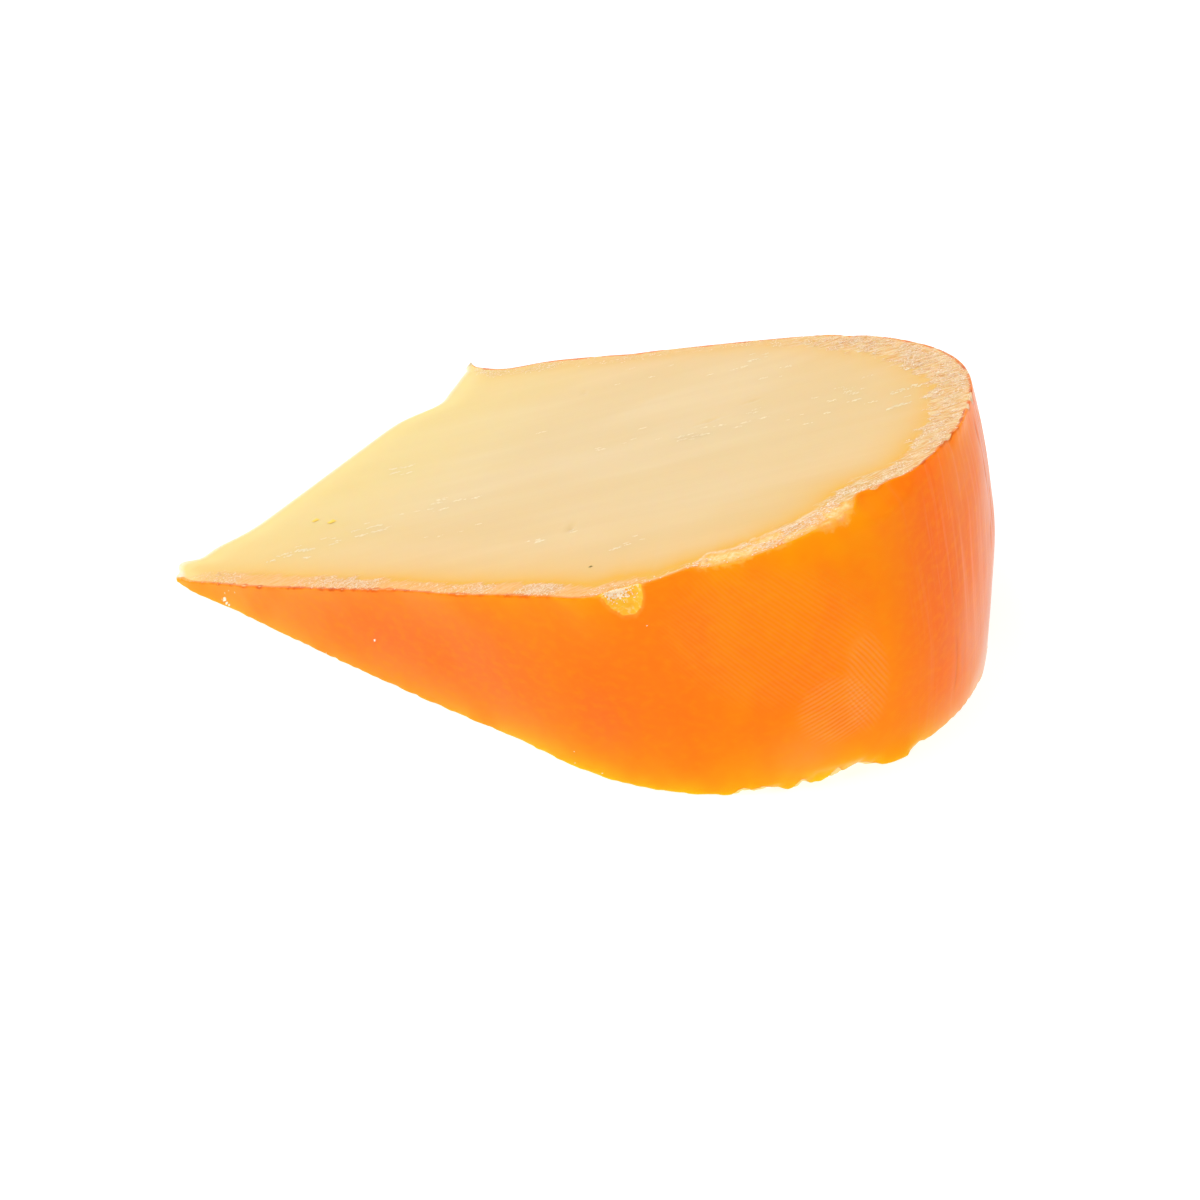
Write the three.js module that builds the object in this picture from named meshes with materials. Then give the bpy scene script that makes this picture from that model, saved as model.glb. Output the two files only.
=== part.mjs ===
// A wedge cut from a wheel of semi-hard cheese with a thin coloured coat. It lies on its lower cut
// face, so the wheel's own axis runs level, along Y, at the wedge's thin edge.
//
// The cut faces are half of the wheel's cross-section: two nearly flat sides that reach the axis and
// a round rim that joins them. The coat is that outline swept about the axis by the wedge angle.
//
// A point of the surface is named by its station, the distance along the outline from the near end
// of the thin edge (near side, rim, far side, then back along the thin edge), and by its level, from
// 0 at the lower cut to 1 at the upper one. Lengths are in millimetres, and +Z is up.
import * as THREE from "three";

// ---------------------------------------------------------------- driving dimensions
const WHEEL_HEIGHT = 99.6; // along the axis, at the shoulders
const HEIGHT_AT_AXIS = 94.4; // the flat sides dish in a little towards the axis
const SHOULDER_RADIUS = 90; // where the flat sides end and the rim begins
const RIM_DEPTH = 51; // from the shoulder out to the rim's outermost line
const RIM_FULLNESS = 2.05; // 2 is an ellipse; above it the rim is fuller at its corners
const WEDGE_ANGLE = THREE.MathUtils.degToRad(21);

const THIN_EDGE_THICKNESS = 0.9;
const THIN_EDGE_SETBACK = 3.1; // from the axis to the usual place of the thin edge
const UPPER_EDGE_ROUNDING = 0.7;
const LOWER_EDGE_ROUNDING = 0.4;

// How the thin edge broke: each feature moves it out past the axis (+) or back into the cheese (-).
const THIN_EDGE_FEATURES = [
  { name: "near corner", at: -46.5, reach: 1.4, width: 2.5 },
  { name: "near lip", at: -42, reach: 5, width: 2.3 },
  { name: "lip's shoulder", at: -36, reach: 2.9, width: 6.5 },
  { name: "bite", at: 28.5, reach: -5, width: 6 },
  { name: "bite's tail", at: 37, reach: -1.8, width: 5 },
  { name: "far ear", at: 48.5, reach: 3.2, width: 2.5 },
];

// Where the upper cut's edge swells out (+) or is worn back (-): station of its middle, size, width
// along the edge, and how far down the coat it fades out.
const EDGE_FEATURES = [
  { name: "near corner swell", at: 101, shift: 1.5, width: 6, fade: 16 },
  { name: "worn corner", at: 119, shift: -2.2, width: 6, fade: 6 },
  { name: "worn rim", at: 135, shift: -0.8, width: 7, fade: 5 },
  { name: "torn coat", at: 150, shift: -1.7, width: 5, fade: 4 },
  { name: "far rim", at: 229, shift: -0.8, width: 18, fade: 12 },
  { name: "far dip", at: 325, shift: -2.3, width: 8, fade: 7 },
  { name: "far ear", at: 339, shift: 2.2, width: 3, fade: 7 },
];

// Places where the coat and a little cheese are broken off a cut edge: start and end station, how
// far they reach from the edge, and how deep they go.
const FLAKES = [
  { name: "corner chip", edge: "upper", from: 103, to: 113, height: 7.5, depth: 1.7 },
  { name: "peeled band", edge: "upper", from: 126, to: 149, height: 3.4, depth: 0.9 },
  { name: "first break", edge: "lower", from: 120, to: 129, height: 2.4, depth: 1.1 },
  { name: "second break", edge: "lower", from: 132, to: 144.5, height: 4.5, depth: 1.7 },
  { name: "third break", edge: "lower", from: 151, to: 157, height: 2, depth: 0.4 },
  { name: "far break", edge: "lower", from: 214, to: 227, height: 3.2, depth: 1.3 },
];
const FLAKE_RAMP = 2.2; // length of the slope at each end of a flake

// Gentle unevenness of the coat: size, wavelength along the outline, and the station it starts at.
const COAT_WAVES = [
  { size: 0.22, length: 61, start: 30 },
  { size: 0.12, length: 37, start: 20 },
];
const CUT_SAG = 0.5; // how far the middle of the upper cut dips below its edges

// ---------------------------------------------------------------- resolution
const STEP = 2.5; // station step along the outline
const SIDE_LEVELS = [0, 0.03, 0.08, 0.16, 0.28, 0.42, 0.56, 0.7, 0.82, 0.9, 0.95, 0.98, 1];
const FACE_RINGS = [0.93, 0.72, 0.4]; // share of the way from the middle of a cut to its edge

// ---------------------------------------------------------------- the outline of a cut
const HALF_HEIGHT = WHEEL_HEIGHT / 2;
const HALF_AT_AXIS = HEIGHT_AT_AXIS / 2;
const SIDE_LENGTH = SHOULDER_RADIUS;
const RIM_LENGTH = (Math.PI * (RIM_DEPTH + HALF_HEIGHT)) / 2;
const RIM_START = SIDE_LENGTH;
const RIM_END = RIM_START + RIM_LENGTH;
const THIN_EDGE_START = RIM_END + SIDE_LENGTH;
const OUTLINE_LENGTH = THIN_EDGE_START + HEIGHT_AT_AXIS;
const MIDDLE = { radius: 72, along: 0 }; // the middle of a cut, which its rings close on

const bell = (distance, width) => Math.exp(-((distance / width) ** 2));

function thinEdgeRadius(along) {
  const reach = THIN_EDGE_FEATURES.map((f) => f.reach * bell(along - f.at, f.width));
  return THIN_EDGE_SETBACK - reach.reduce((sum, r) => sum + r, 0);
}

// The half height of the wheel's flat sides, at a distance from the axis.
function halfHeight(radius) {
  return THREE.MathUtils.lerp(HALF_AT_AXIS, HALF_HEIGHT, radius / SHOULDER_RADIUS);
}

// The angle of a rim station, seen from the middle of the rim: -90 degrees at the near shoulder.
const rimAngle = (station) => (Math.PI * (station - RIM_START)) / RIM_LENGTH - Math.PI / 2;

// A cosine or sine squared up to the rim's fullness.
const fuller = (value) => Math.sign(value) * Math.abs(value) ** (2 / RIM_FULLNESS);

// The plain outline: {radius from the axis, distance along the axis} at a station.
function plainOutline(station) {
  if (station < RIM_START) {
    const share = station / SIDE_LENGTH;
    const radius = THREE.MathUtils.lerp(thinEdgeRadius(-HALF_AT_AXIS), SHOULDER_RADIUS, share);
    return { radius, along: -halfHeight(radius) };
  }
  if (station < RIM_END) {
    const angle = rimAngle(station);
    const radius = SHOULDER_RADIUS + RIM_DEPTH * fuller(Math.cos(angle));
    return { radius, along: HALF_HEIGHT * fuller(Math.sin(angle)) };
  }
  if (station < THIN_EDGE_START) {
    const share = (station - RIM_END) / SIDE_LENGTH;
    const radius = THREE.MathUtils.lerp(SHOULDER_RADIUS, thinEdgeRadius(HALF_AT_AXIS), share);
    return { radius, along: halfHeight(radius) };
  }
  const along = HALF_AT_AXIS - (station - THIN_EDGE_START);
  return { radius: thinEdgeRadius(along), along };
}

// The outward direction of the outline at a station; the thin edge faces back past the axis.
function outward(station) {
  if (station < RIM_START) return { radius: 0, along: -1 };
  if (station < RIM_END) {
    const angle = rimAngle(station);
    return { radius: Math.cos(angle), along: Math.sin(angle) };
  }
  if (station < THIN_EDGE_START) return { radius: 0, along: 1 };
  return { radius: -1, along: 0 };
}

// How far the coat stands out from the plain outline, at a station and height above the lower cut.
function outlineShift(station, height, fullHeight) {
  let shift = 0;
  for (const feature of EDGE_FEATURES) {
    const fading = 1 - THREE.MathUtils.smoothstep(fullHeight - height, 0, feature.fade);
    shift += feature.shift * bell(station - feature.at, feature.width) * fading;
  }
  for (const wave of COAT_WAVES) {
    const turns = (station + height - wave.start) / wave.length;
    shift += wave.size * Math.sin(2 * Math.PI * turns);
  }
  return shift;
}

// How deep the flakes cut in, at a station and at a height above the lower cut.
function flakeDepth(station, height, fullHeight) {
  let depth = 0;
  for (const flake of FLAKES) {
    const fromEdge = flake.edge === "upper" ? fullHeight - height : height;
    const inside = Math.min(station - flake.from, flake.to - station);
    const alongEdge = THREE.MathUtils.smoothstep(inside, 0, FLAKE_RAMP);
    depth += flake.depth * alongEdge * (1 - THREE.MathUtils.smoothstep(fromEdge, 0, flake.height));
  }
  return depth;
}

// ---------------------------------------------------------------- the surface
// Height of the upper cut over the lower one. It follows the wedge angle, except that the thin edge
// keeps its thickness where the two cuts would meet.
function wedgeHeight(radius) {
  const rise = radius * Math.tan(WEDGE_ANGLE);
  return 0.5 * (rise + Math.hypot(rise, 2 * THIN_EDGE_THICKNESS));
}

function sidePoint(station, level) {
  const onOutline = plainOutline(station);
  const normal = outward(station);
  const fullHeight = wedgeHeight(onOutline.radius);
  const height = level * fullHeight;
  const onCoat = station < THIN_EDGE_START;
  const swell = onCoat ? outlineShift(station, height, fullHeight) : 0;
  const shift = swell - flakeDepth(station, height, fullHeight);
  const radius = onOutline.radius + normal.radius * shift;
  const along = onOutline.along + normal.along * shift;
  const angle = WEDGE_ANGLE * level;
  const rise = (wedgeHeight(radius) * Math.sin(angle)) / Math.tan(WEDGE_ANGLE);
  return new THREE.Vector3(radius * Math.cos(angle), along, rise);
}

// A point of a cut face: share 0 is its middle, 1 its edge. The edge itself is rounded, so the
// face's own rings stop short of it by inset.
function facePoint(station, level, share, inset) {
  const edge = sidePoint(station, level);
  const scale = Math.cos(WEDGE_ANGLE * level);
  const middle = new THREE.Vector3(MIDDLE.radius * scale, MIDDLE.along, 0);
  const reach = Math.hypot(edge.x - middle.x, edge.y - middle.y);
  const kept = share * (1 - inset / reach);
  const x = THREE.MathUtils.lerp(middle.x, edge.x, kept);
  const y = THREE.MathUtils.lerp(middle.y, edge.y, kept);
  if (level === 0) return new THREE.Vector3(x, y, 0);
  const sag = CUT_SAG * (1 - share * share);
  return new THREE.Vector3(x, y, wedgeHeight(x / scale) * scale - sag);
}

// The rings of the surface, from the lower cut's middle to the upper cut's. Each entry makes the
// point of its ring at a station.
function surfaceRings() {
  const rings = [];
  for (const share of [...FACE_RINGS].reverse()) {
    rings.push({ coat: false, point: (s) => facePoint(s, 0, share, LOWER_EDGE_ROUNDING) });
  }
  rings.push({ coat: false, point: (s) => facePoint(s, 0, 1, LOWER_EDGE_ROUNDING) });
  for (const level of SIDE_LEVELS) {
    rings.push({ coat: true, point: (s) => roundedSide(s, level) });
  }
  rings.push({ coat: false, point: (s) => facePoint(s, 1, 1, UPPER_EDGE_ROUNDING) });
  for (const share of FACE_RINGS) {
    rings.push({ coat: false, point: (s) => facePoint(s, 1, share, UPPER_EDGE_ROUNDING) });
  }
  return rings;
}

// The side's first and last levels stay off the cut planes, so that both cut edges are rounded.
function roundedSide(station, level) {
  const point = sidePoint(station, level);
  const room = wedgeHeight(plainOutline(station).radius) / 3;
  if (level === 0) point.z += Math.min(LOWER_EDGE_ROUNDING, room) / 2;
  if (level === 1) point.z -= Math.min(UPPER_EDGE_ROUNDING, room) / 2;
  return point;
}

// ---------------------------------------------------------------- the mesh
const PASTE_COLOUR = new THREE.Color(0xf5daa5);
const COAT_COLOUR = new THREE.Color(0xff8426);

function wedgeGeometry() {
  const rings = surfaceRings();
  const count = Math.round(OUTLINE_LENGTH / STEP);
  const positions = [];
  const colours = [];
  const addVertex = (point, isCoat) => {
    positions.push(point.x, point.y, point.z);
    const colour = isCoat ? COAT_COLOUR : PASTE_COLOUR;
    colours.push(colour.r, colour.g, colour.b);
  };
  for (const ring of rings) {
    for (let i = 0; i < count; i++) {
      const station = (i * OUTLINE_LENGTH) / count;
      addVertex(ring.point(station), ring.coat && station < THIN_EDGE_START);
    }
  }
  const lowerMiddle = rings.length * count;
  const upperMiddle = lowerMiddle + 1;
  addVertex(facePoint(0, 0, 0, 0), false);
  addVertex(facePoint(0, 1, 0, 0), false);

  const triangles = [];
  const lastRing = (rings.length - 1) * count;
  for (let i = 0; i < count; i++) {
    const next = (i + 1) % count;
    triangles.push(lowerMiddle, next, i);
    triangles.push(upperMiddle, lastRing + i, lastRing + next);
    for (let r = 0; r + 1 < rings.length; r++) {
      const lower = r * count;
      const upper = lower + count;
      triangles.push(lower + i, lower + next, upper + next);
      triangles.push(lower + i, upper + next, upper + i);
    }
  }
  const geometry = new THREE.BufferGeometry();
  geometry.setAttribute("position", new THREE.Float32BufferAttribute(positions, 3));
  geometry.setAttribute("color", new THREE.Float32BufferAttribute(colours, 3));
  geometry.setIndex(triangles);
  geometry.computeVertexNormals();
  return geometry;
}

function cheeseWedge() {
  const material = new THREE.MeshStandardMaterial({ vertexColors: true, roughness: 0.45, metalness: 0 });
  const mesh = new THREE.Mesh(wedgeGeometry(), material);
  mesh.name = "cheese_wedge";
  mesh.geometry.computeBoundingBox();
  const { min, max } = mesh.geometry.boundingBox;
  mesh.position.set(-(min.x + max.x) / 2, -(min.y + max.y) / 2, -min.z);
  return mesh;
}

const wedge = new THREE.Group();
wedge.add(cheeseWedge());

export default wedge;
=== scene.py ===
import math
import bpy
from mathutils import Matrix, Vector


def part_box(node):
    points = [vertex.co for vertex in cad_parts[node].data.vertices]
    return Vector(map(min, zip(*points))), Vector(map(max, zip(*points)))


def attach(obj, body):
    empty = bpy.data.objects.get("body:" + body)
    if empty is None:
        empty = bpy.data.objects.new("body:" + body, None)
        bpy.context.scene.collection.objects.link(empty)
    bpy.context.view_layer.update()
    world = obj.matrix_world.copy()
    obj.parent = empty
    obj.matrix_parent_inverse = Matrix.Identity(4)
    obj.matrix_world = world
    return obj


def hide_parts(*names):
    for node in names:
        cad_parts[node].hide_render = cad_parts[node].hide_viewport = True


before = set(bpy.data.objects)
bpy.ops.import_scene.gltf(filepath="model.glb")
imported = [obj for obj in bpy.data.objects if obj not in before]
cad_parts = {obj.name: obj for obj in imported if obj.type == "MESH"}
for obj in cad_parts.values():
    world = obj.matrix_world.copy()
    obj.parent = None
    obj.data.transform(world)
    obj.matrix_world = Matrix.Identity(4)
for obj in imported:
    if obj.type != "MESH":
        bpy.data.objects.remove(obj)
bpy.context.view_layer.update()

# A wedge of semi-hard cheese with a thin orange coat, lying on its lower cut face.
#
# Shapes are worked out in millimetres in the wheel's own frame and moved to the row frame at the
# end. The outline of a cut face is two nearly flat sides and a round rim. A station is the distance
# along that outline from the near end of the thin edge: near side, rim, far side, thin edge. A
# height is the distance up the side from the lower cut. On a cut face, u runs from the wheel's axis
# out to the rim, v along the axis, and the inset is the distance in from the outline.
from types import SimpleNamespace

import bpy
import numpy as np
from mathutils import Matrix, Vector

NODE = "cheese_wedge"
BODY = "root"
MM = 0.001

# ---- the wedge, as in the frame
WHEEL_HEIGHT = 99.6
HEIGHT_AT_AXIS = 94.4
SHOULDER_RADIUS = 90.0
RIM_DEPTH = 51.0
RIM_FULLNESS = 2.05
WEDGE_ANGLE = math.radians(21)
THIN_EDGE_THICKNESS = 0.9
THIN_EDGE_SETBACK = 3.1
CUT_SAG = 0.5
CUT_MIDDLE = (72.0, 0.0)

# Place along the thin edge, reach past the usual line, width.
THIN_EDGE_FEATURES = (
    (-46.5, 1.4, 2.5),
    (-42, 5, 2.3),
    (-36, 2.9, 6.5),
    (28.5, -5, 6),
    (37, -1.8, 5),
    (48.5, 3.2, 2.5),
)

# Station, outward shift, width along the edge, how far down the coat it fades out.
EDGE_FEATURES = (
    (101, 1.5, 6, 16),
    (119, -2.2, 6, 6),
    (135, -0.8, 7, 5),
    (150, -1.7, 5, 4),
    (229, -0.8, 18, 12),
    (325, -2.3, 8, 7),
    (339, 2.2, 3, 7),
)

# Breaks along the lower edge: first and last station, height, depth.
LOWER_BREAKS = (
    (120, 129, 2.4, 1.1),
    (132, 144.5, 4.5, 1.7),
    (151, 157, 2, 0.4),
    (214, 227, 3.2, 1.3),
)
BREAK_RAMP = 2.2

# Gentle waves of the coat: size, wavelength, the station they start at.
COAT_WAVES = ((0.22, 61, 30), (0.12, 37, 20))

# ---- finer shape
COAT_THICKNESS = 0.35
# Distances inside the coat's torn edge between which it thickens, and the one cut cheese counts as.
COAT_FRINGE = (-0.18, 0.12)
NO_COAT = -1.5
# How deep the cheese is torn where the coat is gone. From the first to the second station the
# upper edge turns ragged, and bare cheese stands out almost as far as the coat.
TORN_DEPTH = 0.25
TORN_STATIONS = (150, 165)
FLUSH_SHARE = 0.8
COAT_UNEVENNESS = 0.12
FOOT_CRUMBLE = 0.16
# The dark line along the coat's upper edge: its width on the cut, and its strength by station.
COAT_LINE_WIDTH = 0.24
COAT_LINE_LEVELS = (
    (0, 0.2), (7, 0.4), (14, 1), (92, 0.7), (104, 0.1), (152, 0.2), (162, 1),
    (337, 0.9),
)
# Radii of the edges, which take at most a share of the wedge's height where it is thin.
UPPER_ROUNDING = 0.35
LOWER_ROUNDING = 0.3
ROUNDING_SHARE = 0.3
CORNER_RADIUS = 1.4

# The worn bevel between the upper cut and the coat's edge.
BEVEL_STATIONS = (118.0, 149.5)
BEVEL_RAMP = 2.5
BEVEL_DROP = 0.6
BEVEL_WIDTH = 3.5
# The crest is lifted a little and painted pale as a highlight, also on the side below it.
CREST_STATIONS = (109.5, 146.0)
CREST_OFFSET = 0.25
CREST_WIDTH = 0.38
CREST_LIFT = 0.12
CREST_ON_SIDE = 0.55

# The chip at the corner: its outline as station and distance below the upper edge.
CHIP_STATION = 105.0
CHIP_DEPTH = 0.45
CHIP_OUTLINE = (
    (102.6, -0.8), (103.6, 0.5), (104.5, 2.9), (106, 4.7), (107.6, 5), (109, 3.8), (109.7, 2.2),
    (110, -0.8),
)

# Small shifts of the upper and lower edges: station, outward shift, width, reach down or up.
UPPER_DETAILS = (
    (150.8, -1.9, 2.6, 4.5),
    (155.6, -1.3, 2.2, 4),
    (170.5, -0.4, 1.6, 3),
    (126, -0.3, 6, 3),
    (176, 0.3, 3, 3),
    (240, -0.5, 3, 4),
    (292, -0.4, 4, 3),
)
LOWER_DETAILS = (
    (122.8, 0.9, 2.6, 3),
    (131.9, -1, 1, 3),
    (134.5, 0.9, 1.2, 3),
    (137.5, 1.1, 1.5, 3),
    (144.3, -1, 1.8, 3),
    (150.5, 0.8, 3.2, 5),
    (232, 0.4, 3, 4),
    (270, -0.5, 3, 3),
)

# Where the thin edge's near corner is worn round: station, move along u and along v, width.
CORNER_MOVES = (
    (427.5, 0.6, 0, 1.1),
    (431, -1.05, 0, 1.5),
    (0.2, -0.85, 0.85, 1.7),
)

CREASE_DEPTH = 0.06
CREASE_STATIONS = (180, 262)
# Deeper wrinkles down the rim: station, lowest and highest share of the height, strength.
WRINKLES = (
    (164.6, 0.1, 0.66, 0.5),
    (166.6, 0.08, 0.45, 0.4),
    (183.6, 0.4, 0.99, 1),
    (186.4, 0.45, 0.99, 1),
    (189.6, 0.35, 0.95, 1),
)
WRINKLE_WIDTH = 0.38
WRINKLE_LEVEL = 3.0

# Where the coat ends short of the upper and lower edges: station, distance, width.
UPPER_NICKS = (
    (123.5, 0.3, 1.3),
    (133.2, 0.4, 1.4),
    (141, 1.2, 1.6),
    (144.6, 0.9, 1.6),
    (162, 0.35, 0.8),
    (166.5, 0.3, 0.6),
    (171, 0.5, 0.8),
    (177, 0.45, 0.7),
    (182.5, 0.8, 1),
    (186.5, 1.4, 1.5),
    (206, 0.5, 1.2),
    (233, 0.8, 2.2),
    (251, 0.5, 1.5),
    (283, 0.6, 2.5),
    (301, 0.5, 1.2),
)
LOWER_NICKS = (
    (121, 1.3, 1.3),
    (124.2, 1.6, 1.6),
    (131.2, 1.7, 1.3),
    (137.8, 2.3, 1.3),
    (141, 1, 1.2),
    (144.2, 1.1, 2),
    (155.5, 0.6, 1.2),
    (164, 0.4, 0.8),
    (196, 0.8, 1.4),
    (218, 1.7, 2),
    (224, 1.2, 1.6),
    (262, 0.8, 2),
    (296, 0.7, 1.5),
)

# The torn band along the edge of the upper cut: station and width.
BAND_WIDTHS = (
    (0, 4.4), (20, 5), (60, 3.7), (104, 3.8), (111, 1.9), (119, 2), (128, 5),
    (150, 5.9), (175, 6.9), (210, 8.2), (236, 6.6), (262, 2.8), (310, 4.6), (337.9, 3),
)
# How strongly the band is torn, by station.
BAND_LEVELS = (
    (0, 0.3), (6, 0.35), (14, 0.75), (100, 0.9), (109, 0.7), (113, 0.25), (126, 0.5),
    (148, 0.8), (165, 1), (238, 1), (262, 0.3),
)
# How much painted glow of the coat's colour, scattered into the cheese, shows by station, and how
# far in: a share of the whole and the distance in which it fades.
WARM_REACHES = ((0.58, 3.2), (0.42, 15))
WARM_LEVELS = (
    (0, 0.4), (20, 0.9), (70, 1.1), (104, 1.35), (140, 1.1), (170, 1), (225, 0.7),
    (260, 0.55), (325, 0.4), (340, 0),
)
# Direction of the band's tears by station, in degrees from u towards v.
TEAR_ANGLES = ((0, 56), (110, 52), (175, 42), (230, 24), (337.9, 22))
TEAR_RELIEF = 0.11
KNIFE_ANGLE = 26.0
# How far in the sag of the upper cut sets in, and how far the thin edge's look reaches: a painted
# glow of light through the thin cheese, whiter at its lip.
SAG_FADE = 18
THIN_FADE = 5.0
# Relief takes no more than this share of the cheese away, where it is thin.
THINNEST_SHARE = 0.2

# The coat's dyes, red, green and blue as on a screen, and the stations where each holds. The salmon
# one on the rim is partly a painted reflection.
DYE_ORANGE = (253, 110, 44)
DYE_AMBER = (253, 118, 20)
DYE_YELLOW = (255, 132, 1)
DYE_RED = (241, 109, 33)
# Partly painted reflection: the rim's salmon.
SALMON_DYE_AND_REFLECTION = (235, 133, 92)
DYE_AND_REFLECTION_ALONG_RIM = (
    (0, DYE_ORANGE), (78, DYE_ORANGE), (94, DYE_AMBER), (109, DYE_AMBER),
    (132, DYE_YELLOW), (147, DYE_YELLOW), (160, DYE_RED), (163, DYE_RED),
    (177, SALMON_DYE_AND_REFLECTION), (187, SALMON_DYE_AND_REFLECTION), (199, DYE_AMBER), (240, DYE_YELLOW),
    (288, DYE_ORANGE),
)
# The coat is yellower by its upper and lower edges, by the lower one as painted light from the
# floor: how much green is added, and its fade.
TOP_YELLOWING = (28, 7.0)
FOOT_FLOOR_LIGHT = (64, 4.5)
# Places with a tint of their own, the one at station 170 a painted salmon reflection: station,
# height, half width, half height, strength, colour.
TINT_AND_REFLECTION_PATCHES = (
    (52, 12, 9, 5, 0.5, (252, 100, 44)),
    (98, 13, 6, 8, 0.6, (250, 106, 46)),
    (132, 7, 8, 8, 0.8, (252, 132, 56)),
    (121, 30, 3, 14, 0.4, (254, 142, 6)),
    (141, 38, 4, 12, 0.3, (254, 142, 2)),
    # Painted reflection: a salmon patch on the rim.
    (170, 15, 7, 9, 0.45, (246, 152, 118)),
    (210, 14, 10, 9, 0.6, (250, 118, 34)),
    (262, 15, 9, 8, 0.6, (252, 136, 44)),
    (300, 9, 8, 5, 0.5, (250, 118, 34)),
)

# Small pits in the upper cut: u, v, radius, depth.
PITS = (
    (82.4, -26.4, 0.8, 0.5),
    (86.8, 14.1, 0.8, 0.4),
    (91.5, 21, 0.7, 0.4),
    (46, 30.5, 0.7, 0.3),
)

# The cloth's imprint on the coat: station, height, half width, half height, direction and height
# of the ridges.
CLOTH_PITCH = 0.8
CLOTH_PATCHES = (
    (137, 16, 8, 8, 24, 0.11),
    (143, 20, 5, 12, -58, 0.09),
    (128, 32, 20, 16, -48, 0.04),
    (215, 24, 16, 14, 12, 0.06),
    (255, 20, 14, 12, -50, 0.06),
)

# ---- fineness of the body's mesh
# Stretches of the outline: last station and number of columns.
COLUMNS = ((90, 180), (200, 290), (248.3, 104), (338.3, 140), (432.7, 118))
LOWER_RINGS = 9
SIDE_RINGS = 52
ROUNDING_RINGS = 3
UPPER_RINGS = 52
# Where the columns on a cut turn towards its middle, and how far they first run straight in.
PATH_TURN = 0.3
PATH_CONTROL = 6.0
PATH_RADIUS = 10.0
# Evening out of the columns near the thin edge's corners.
RELAX_DEPTH = 70.0
RELAX_REACH = 10.0
RELAX_REACH_AT_LIP = 2.5
RELAX_ROUNDS = 220
# How many places are measured against the edge at a time, to keep the tables small.
AT_A_TIME = 4000
# Spacing of the points that stand for the plain outline.
EDGE_STEP = 0.5
# How the rings crowd towards the wedge's edges: a power, a share, and what share stays even.
LOWER_CROWDING = 1.6
SIDE_CROWDING = 0.8
UPPER_EVENNESS = 0.3

# ---- small pieces
FIBRE_SEED = 11
FIBRE_TRIES = 36000
FIBRE_SHARE = 0.5
FIBRE_LENGTHS = (0.5, 1.3)
FIBRE_WIDTHS = (0.1, 0.2)
DRY_GRAIN_SIZES = (0.18, 0.45)
# How far fibres and grains stray from the direction of the tears, in degrees.
FIBRE_STRAY = 12
DRY_GRAIN_STRAY = 50
FLECK_SEED = 5
FLECK_THICKNESS = 0.08
FLECK_STRAY = 17
# Each fleck is this many crumbs, spread along and across by these shares of its length.
FLECK_CRUMBS = 14
FLECK_SPREAD = (0.24, 0.08)
FLECK_CRUMB_SHARES = (0.16, 0.42)
SPECK_SEED = 3
CHIP_CRUMBS = 420
CHIP_CRUMB_LENGTHS = (0.25, 0.65)
NICK_CRUMBS = 2400
NICK_CRUMB_LENGTHS = (0.2, 0.5)
NICK_CRUMB_STATIONS = (164, 240)
# White specks on the coat: station, height, length.
SPECKS = (
    (12.2, 1.7, 1.5),
    (12.7, 1.2, 1.5),
    (12.4, 2.2, 1.1),
    (13.2, 0.9, 0.9),
    (14.5, 4.9, 0.35),
    (13, 3.7, 0.45),
    (11.5, 1.4, 0.4),
    (16.2, 5.2, 0.35),
    (37.5, 0.4, 0.5),
    (50.5, 9.1, 0.9),
    (92.5, 3.7, 0.45),
    (92.5, 1, 0.5),
    (97.5, 1, 0.5),
    (109, 34.6, 0.45),
    (205, 22, 0.5),
    (221, 9, 0.4),
    (277, 12, 0.5),
    (312, 4, 0.4),
)
# Grains on the cut: u, v, length, and 0 for a dark one or 1 for a yellow one.
GRAINS = ((16.7, -22.7, 1.9, 1), (21.6, -23.2, 2.2, 1), (96.1, -40, 0.8, 0))
# Flecks on the cut: middle of each group (u, v), its spread, how many flecks, and their length.
FLECK_GROUPS = (
    (125.3, 15.9, 0.1, 1, 4.6),
    (112.3, 29.1, 0.1, 1, 3.4),
    (122, 20.5, 3.2, 9, 2.4),
    (109.5, 22.5, 3.5, 8, 2.4),
    (106.5, 12.5, 3, 4, 2),
    (89, 9.5, 5, 11, 2.4),
    (95.5, 16.4, 1.5, 3, 2),
    (69, 5.5, 5, 6, 1.8),
    (24, -3, 3, 5, 2.8),
    (47, 13, 3, 2, 1.6),
    (45, -18, 4.5, 7, 2.4),
    (34, -25, 6, 10, 2.6),
    (22, -35.8, 4, 9, 2.8),
    (57, -28, 4, 4, 1.6),
    (79, -30, 4, 6, 2),
    (97.5, -33.5, 2.6, 6, 1.6),
    (115, -24, 2, 3, 1.5),
    (78, 37.5, 5, 6, 2.6),
    (55, 39, 5, 4, 2.2),
    (93, 34.5, 4, 4, 1.8),
)


# ---- small mathematics
def screen_to_linear(colour):
    """A colour from 0 to 255, as on a screen, as the light that Blender reckons with."""
    share = np.asarray(colour, float) / 255
    return np.where(share <= 0.04045, share / 12.92, ((share + 0.055) / 1.055) ** 2.4)


def smooth(x, low, high):
    """Smooth step from 0 at low to 1 at high; low may be the larger one."""
    t = np.clip((x - low) / (high - low), 0, 1)
    return t * t * (3 - 2 * t)


def bell(x, width):
    """A rounded hump, 1 at x = 0."""
    return np.exp(-((x / width) ** 2))


def bells(features, x):
    """The sum of rounded humps, each with its place, size and width."""
    return sum(size * bell(x - at, width) for at, size, width in features)


def window(x, low, high, ramp):
    """1 from low to high and 0 outside them, with smooth ramps between."""
    return smooth(np.minimum(x - low, high - x), 0, ramp)


def along(points, station):
    """Value at each station of a line that runs straight from one hand-set point to the next."""
    places, values = np.array(points).T
    return np.interp(station, places, values)


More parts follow.
